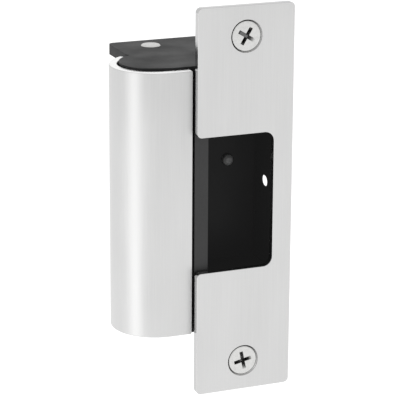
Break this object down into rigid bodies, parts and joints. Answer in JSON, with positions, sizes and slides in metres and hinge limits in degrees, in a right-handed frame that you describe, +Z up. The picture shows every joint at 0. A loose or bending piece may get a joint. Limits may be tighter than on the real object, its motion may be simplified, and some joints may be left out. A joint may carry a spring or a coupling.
{
  "type": "electric door strike",
  "caption": "Electric strike for a door frame: a sprung half-round keeper beside a notched steel faceplate, blocked or freed by a solenoid's lever.",
  "frame": {"origin": "centre of the faceplate's back face, midway between its two screws", "axes": "+X right across the faceplate, +Y back into the door frame, +Z up along the faceplate"},
  "size_m": [0.0533, 0.0472, 0.1238],
  "materials": {
    "stainless": "brushed stainless, fine vertical grain",
    "screw_steel": "plain steel, lightly polished",
    "zinc_steel": "zinc plated, satin",
    "black_cast": "black coated casting, satin",
    "black_sheet": "black coated sheet, satin",
    "keeper_black": "black coated casting, satin",
    "bronze": "sintered bronze",
    "spring_steel": "drawn spring steel",
    "hard_steel": "hardened steel",
    "coil_wire": "enamelled copper wire under tape",
    "bobbin_plastic": "moulded nylon",
    "black_plastic": "moulded plastic",
    "contact_metal": "tinned brass",
    "board": "coated circuit board",
    "terminal_plastic": "moulded plastic",
    "rubber": "soft black rubber"
  },
  "bodies": {
    "case": {"faceplate": "stainless", "faceplate_screws": "screw_steel", "faceplate_studs": "zinc_steel", "stud_nuts": "zinc_steel", "top_plate": "black_cast", "bottom_plate": "black_cast", "side_wall": "black_sheet", "back_cover": "black_sheet", "cover_screws": "zinc_steel", "cable_grommet": "rubber", "case_post": "black_cast", "case_rivets": "zinc_steel", "pocket_back": "black_sheet", "pocket_roof": "black_sheet", "pocket_floor": "black_sheet", "keeper_pivot_pin": "screw_steel", "solenoid_yoke": "zinc_steel", "solenoid_bobbin": "bobbin_plastic", "solenoid_coil": "coil_wire", "solenoid_core": "zinc_steel", "solenoid_screws": "zinc_steel", "plunger_spring": "spring_steel", "lever_pin": "zinc_steel", "switch_body": "black_plastic", "switch_terminals": "contact_metal", "circuit_board": "board", "terminal_block": "terminal_plastic", "rectifier": "black_plastic"},
    "keeper": {"keeper_body": "keeper_black", "keeper_shell": "stainless", "shell_rivets": "screw_steel", "keeper_bushes": "bronze", "keeper_spring": "spring_steel"},
    "plunger": {"plunger": "zinc_steel", "plunger_link_pin": "zinc_steel", "spring_collar": "spring_steel"},
    "lever": {"lock_lever": "hard_steel"},
    "button": {"monitor_button": "hard_steel"},
    "switch_strip": {"switch_lever": "spring_steel"}
  },
  "joints": [
    {"name": "keeper_swing", "type": "hinge", "parent": "case", "child": "keeper", "pos_m": [-0.0166, 0.0359, 0], "axis": [0, 0, -1], "range_deg": [0, 60], "stiffness_Nm_per_rad": 0.06, "springref_deg": -22.92},
    {"name": "plunger_slide", "type": "slide", "parent": "case", "child": "plunger", "axis": [0, 0, -1], "range_m": [0, 0.003], "stiffness_N_per_m": 200, "springref_m": -0.004, "deforming": ["plunger_spring"]},
    {"name": "lever_turn", "type": "hinge", "parent": "case", "child": "lever", "pos_m": [0.0076, 0.0314, 0.009], "axis": [0, -1, 0], "range_deg": [0, 22.92]},
    {"name": "button_press", "type": "slide", "parent": "case", "child": "button", "axis": [0, 1, 0], "range_m": [0, 0.0012], "stiffness_N_per_m": 250, "springref_m": -0.002},
    {"name": "strip_turn", "type": "hinge", "parent": "case", "child": "switch_strip", "pos_m": [0.0014, 0.0203, 0.0154], "axis": [1, 0, 0], "range_deg": [0, 10.7]}
  ],
  "couplings": [
    {"joint": "lever_turn", "follows": "plunger_slide", "rad_per_m": 133.3},
    {"joint": "strip_turn", "follows": "button_press", "rad_per_m": 155}
  ]
}
